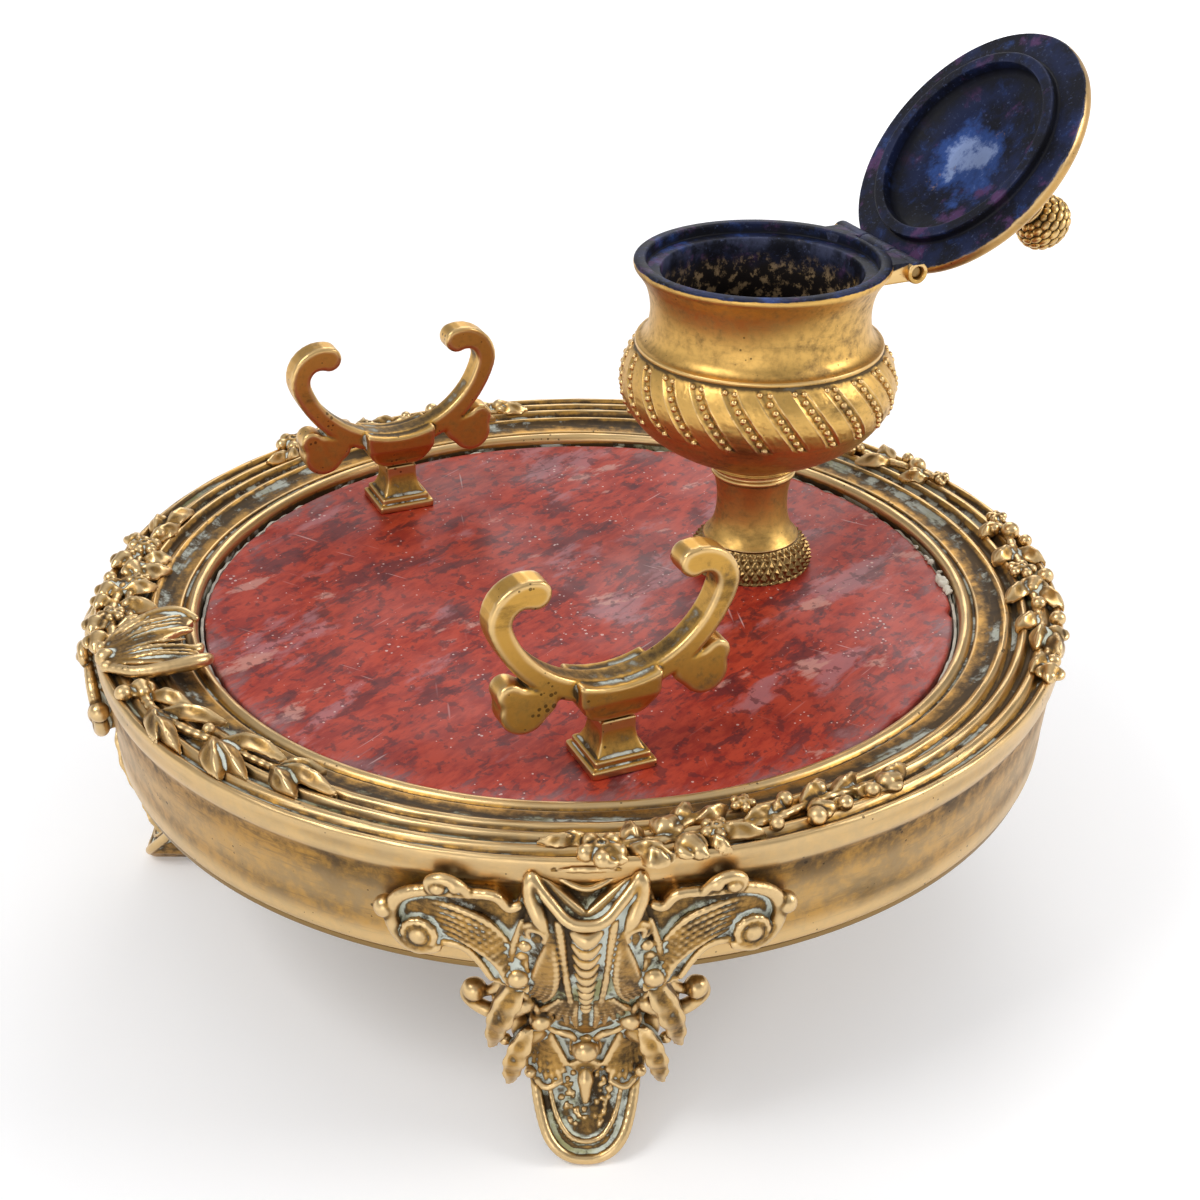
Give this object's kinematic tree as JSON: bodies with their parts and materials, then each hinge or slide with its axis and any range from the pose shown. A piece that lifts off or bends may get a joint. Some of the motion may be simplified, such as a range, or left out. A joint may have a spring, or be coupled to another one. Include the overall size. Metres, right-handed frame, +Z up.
{
  "type": "desk inkstand",
  "caption": "Round footed desk inkstand: a moulded gilt rim round a red marble top, with two pen rests and a footed inkwell with a hinged domed lid.",
  "frame": {"origin": "centre of the marble's flat top face", "axes": "+Z up out of the marble, +Y from the middle towards the inkwell, so the writer sits at -Y and the pen rests stand at +X and -X"},
  "size_m": [0.1955, 0.2095, 0.1662],
  "materials": {
    "marble": "polished, scratched",
    "plaster": "crumbly, dull",
    "gilt_bronze": "aged gilding, worn at the edges",
    "dark_bronze": "darkened bronze",
    "ink_stained_bronze": "gilt bronze stained with ink",
    "iron": "oiled iron"
  },
  "bodies": {
    "stand": {"marble_top": "marble", "plaster_bedding": "plaster", "rim_casting": "gilt_bronze", "base_plate": "dark_bronze", "base_screw_1": "iron", "base_screw_2": "iron", "base_screw_3": "iron", "foot_1": "gilt_bronze", "foot_1_screw_1": "iron", "foot_1_screw_2": "iron", "foot_2": "gilt_bronze", "foot_2_screw_1": "iron", "foot_2_screw_2": "iron", "foot_3": "gilt_bronze", "foot_3_screw_1": "iron", "foot_3_screw_2": "iron", "flower_spray": "gilt_bronze", "laurel_spray": "gilt_bronze", "leg_garland_right": "gilt_bronze", "leg_garland_left": "gilt_bronze", "back_garland_right": "gilt_bronze", "back_garland_left": "gilt_bronze", "bow_mount": "gilt_bronze", "inkwell_foot_ring": "dark_bronze", "inkwell_stem": "gilt_bronze", "inkwell_bowl": "gilt_bronze", "inkwell_tie_rod": "iron", "inkwell_washer": "iron", "inkwell_nut": "iron", "hinge_pin": "dark_bronze", "pen_rest_right": "gilt_bronze", "pen_rest_pedestal_right": "gilt_bronze", "pen_rest_stud_right": "iron", "pen_rest_washer_right": "iron", "pen_rest_nut_right": "iron", "pen_rest_left": "gilt_bronze", "pen_rest_pedestal_left": "gilt_bronze", "pen_rest_stud_left": "iron", "pen_rest_washer_left": "iron", "pen_rest_nut_left": "iron"},
    "lid": {"lid": "ink_stained_bronze", "lid_knob": "gilt_bronze"}
  },
  "joints": [
    {"name": "lid_hinge", "type": "hinge", "parent": "stand", "child": "lid", "pos_m": [0, 0.06525, 0.0638], "axis": [1, 0, 0], "range_deg": [0, 130]}
  ]
}
